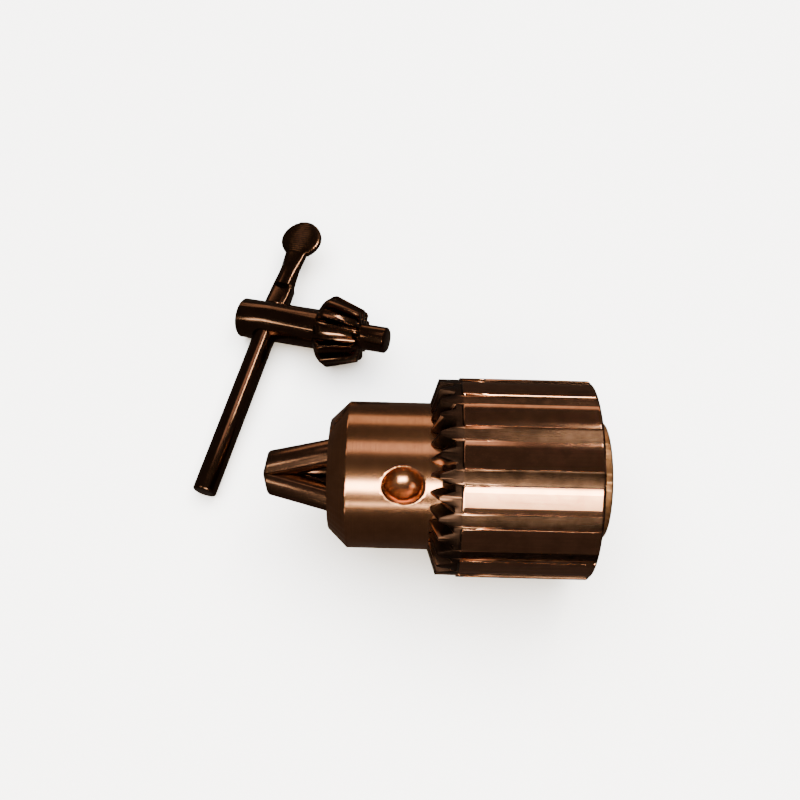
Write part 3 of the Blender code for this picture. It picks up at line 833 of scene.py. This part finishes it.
def groove_shade_mask(nodes):
    """1 in the sleeve's grooves, which get painted shade, and 0 on its lands."""
    mapping = nodes.place((0.0, 1.0, 1.0), (0.0, 0.0, -axis_height()))
    length = nodes.add("ShaderNodeVectorMath", operation="LENGTH")
    nodes.join(mapping, length.inputs[0])
    return nodes.ramp(length.outputs["Value"], GROOVE_SHADE_RADII, 1.0, 0.0)


def step_at(x, ahead, behind):
    """Makes a mask with one value on the nose side of x and another on the arbor side."""

    def mask(nodes):
        split = nodes.add("ShaderNodeSeparateXYZ")
        nodes.join(nodes.place(), split.inputs["Vector"])
        return nodes.ramp(split.outputs["X"], (x, x + ZONE_BLEND), ahead, behind)

    return mask


def dress(piece, material):
    """Gives the piece this material and no other."""
    piece.data.materials.clear()
    piece.data.materials.append(material)


# ---- Stage


def make_stage():
    """White paper under the object, which the metal doesn't reflect."""
    mesh_data = bmesh.new()
    bmesh.ops.create_grid(mesh_data, x_segments=2, y_segments=2, size=FLOOR_HALF_SIZE)
    floor = make_piece("floor", mesh_data)
    paper = Nodes("floor_paper")
    grain = paper.noise(paper.place(), PAPER_GRAIN_SCALE, 3.0)
    paper.join(paper.mix(grain, *PAPER), paper.shader.inputs["Base Color"])
    paper.shader.inputs["Roughness"].default_value = PAPER_ROUGHNESS
    dress(floor, paper.material)
    floor.visible_glossy = False


def make_camera():
    data = bpy.data.cameras.new("camera")
    data.lens = CAMERA_LENS
    data.sensor_width = SENSOR_WIDTH
    data.clip_start = CLIP_START
    camera = bpy.data.objects.new("camera", data)
    camera.location = CAMERA_PLACE
    camera.rotation_euler = Euler([math.radians(angle) for angle in CAMERA_TURN])
    bpy.context.scene.collection.objects.link(camera)
    bpy.context.scene.camera = camera


def softbox(
    name, azimuth, distance, size, power, colour, reflected=True, middle=LIGHT_MIDDLE_X
):
    """An area light that looks square at the chuck's axis line, at x = middle.

    It stands azimuth degrees from +Z towards -Y, and its size is (along X, across X).
    """
    data = bpy.data.lights.new(name, "AREA")
    data.shape = "RECTANGLE"
    data.size, data.size_y = size
    data.energy = power
    data.color = colour
    light = bpy.data.objects.new(name, data)
    angle = math.radians(azimuth)
    light.location = about_x(middle, distance, angle) + Vector((0.0, 0.0, LAND_RADIUS))
    aim = Vector((middle, 0.0, LAND_RADIUS)) - light.location
    light.rotation_euler = aim.to_track_quat("-Z", "Y").to_euler()
    light.visible_glossy = reflected
    bpy.context.scene.collection.objects.link(light)


def make_lights():
    """A dim warm studio, and the softboxes that draw the streaks along the steel."""
    world = bpy.data.worlds.new("studio")
    world.use_nodes = True
    background = world.node_tree.nodes["Background"]
    background.inputs["Color"].default_value = (*STUDIO_COLOUR, 1.0)
    background.inputs["Strength"].default_value = STUDIO_STRENGTH
    bpy.context.scene.world = world
    softbox("key_light", 42, 1.2, (0.66, 0.28), 24.0, WARM, middle=0.06)
    softbox("rod_light", -27, 1.2, (0.07, 0.60), 8.0, WARM, middle=0.37)
    softbox("side_light", 21, 0.9, (0.50, 0.12), 2.6, WARM, middle=-0.86)
    softbox("thin_light", 70, 1.2, (0.80, 0.05), 2.2, WARM)
    softbox("far_light", -18, 1.2, (0.40, 0.35), 0.8, AMBER, middle=-0.08)
    softbox("low_light", -70, 1.2, (1.4, 0.40), 2.5, DEEP_AMBER)
    softbox("table_light", -10, 1.6, (2.5, 2.5), 300.0, DAYLIGHT, reflected=False)


# ---- Assembly


def main():
    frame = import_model()
    nodes = frame["nodes"]
    make_camera()
    make_lights()
    make_stage()

    body_steel = steel(
        "turned_steel",
        colour=(0.52, 0.275, 0.155),
        stain=(0.44, 0.225, 0.125),
        roughness=0.19,
        marks=RING_MARKS,
        mark_scale=1900.0,
        mark_depth=0.7e-6,
        # Painted reflection: behind the flange the hub is coloured a brighter orange for a
        # warm reflection, and it is rougher.
        painted_light_zones=[(step_at(FLANGE_X[1] + EDGE_BREAK, 0.0, 1.0), (0.60, 0.32, 0.16), 0.16)],
    )
    sleeve_steel = steel(
        "ground_steel",
        colour=(0.50, 0.27, 0.17),
        stain=(0.38, 0.20, 0.125),
        roughness=0.12,
        marks=LENGTHWISE_MARKS,
        mark_scale=1500.0,
        mark_depth=0.4e-6,
        painted_light_zones=[
            # Painted shade: the grooves between the lands are coloured dark brown.
            (groove_shade_mask, (0.075, 0.044, 0.029), 0.16),
            # Painted shade: the teeth and front end ahead of the lands are coloured near
            # black.
            (step_at(-LAND_HALF_LENGTH, 1.0, 0.0), (0.055, 0.033, 0.024), 0.14),
        ],
        wear=0.5,
    )
    jaw_steel = steel(
        "jaw_steel",
        colour=(0.22, 0.125, 0.08),
        stain=(0.15, 0.085, 0.057),
        roughness=0.24,
        marks=LENGTHWISE_MARKS,
        mark_scale=1600.0,
        mark_depth=0.6e-6,
    )
    nut_steel = steel(
        "nut_steel",
        colour=(0.40, 0.36, 0.33),
        stain=(0.30, 0.26, 0.23),
        roughness=0.38,
        marks=RING_MARKS,
        mark_scale=2200.0,
        mark_depth=2e-6,
    )
    race_steel = steel(
        "race_steel",
        colour=(0.62, 0.60, 0.58),
        stain=(0.55, 0.52, 0.5),
        roughness=0.18,
        marks=RING_MARKS,
        mark_scale=3000.0,
        mark_depth=1e-6,
    )
    brass = steel(
        "cage_brass",
        colour=(0.72, 0.52, 0.22),
        stain=(0.60, 0.40, 0.16),
        roughness=0.34,
        marks=EVEN_MARKS,
        mark_scale=900.0,
        mark_depth=2e-6,
    )
    oxide = steel(
        "black_oxide",
        colour=(0.145, 0.083, 0.054),
        stain=(0.095, 0.056, 0.037),
        roughness=0.15,
        marks=EVEN_MARKS,
        mark_scale=700.0,
        mark_depth=0.5e-6,
    )

    chuck_axis = Matrix.Translation((0.0, 0.0, axis_height()))
    key_place = Matrix.LocRotScale(KEY_PLACE, KEY_TURN, None)
    pieces = [
        (make_sleeve(chuck_axis), "sleeve", "collar", sleeve_steel, "sleeve_steel"),
        (make_body(chuck_axis), "chuck_body", "body", body_steel, "body_steel"),
        (make_key_body(key_place), "key_body", "key", oxide, "key_black_oxide"),
        (make_key_bar(key_place), "key_handle_bar", "key", oxide, "key_black_oxide"),
    ]
    for number, body in enumerate(("jaw_a", "jaw_b", "jaw_c")):
        jaw = make_jaw(number, chuck_axis)
        pieces.append((jaw, f"jaw_{number + 1}", body, jaw_steel, "jaw_steel"))
    for piece, node, body, material, slot in pieces:
        dress(piece, material)
        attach(piece, body)
        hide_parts(node)

    for name, node in nodes.items():
        if name.startswith("nut_half"):
            dress(node, nut_steel)
        elif name == "ball_cage":
            dress(node, brass)
        elif name.startswith("bearing_ball") or name.endswith("race"):
            dress(node, race_steel)


main()
